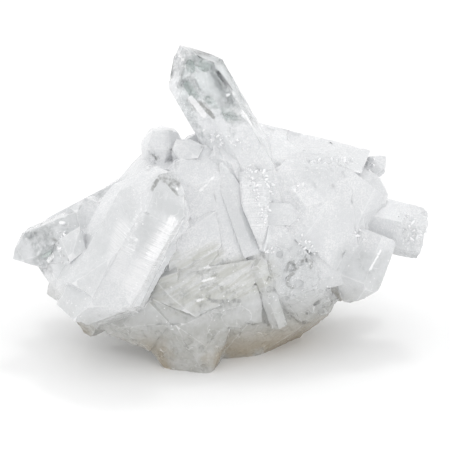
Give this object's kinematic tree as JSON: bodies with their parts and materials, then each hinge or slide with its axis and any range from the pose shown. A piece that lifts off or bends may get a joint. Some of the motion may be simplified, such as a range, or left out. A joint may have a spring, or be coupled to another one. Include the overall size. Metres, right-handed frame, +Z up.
{
  "type": "quartz crystal cluster",
  "caption": "Cluster of intergrown milky quartz crystals with clear points standing out of it, resting on a flat break.",
  "frame": {"origin": "middle of the flat foot that the cluster rests on", "axes": "+Z up out of the foot, +X along the cluster's length towards its blunt stub, -Y towards the front with the broad blade"},
  "size_m": [0.099, 0.0669, 0.0723],
  "materials": {
    "quartz": "milky, translucent quartz with clear points, glassy faces and rough breaks"
  },
  "bodies": {
    "root": {"quartz_cluster": "quartz"}
  },
  "joints": []
}
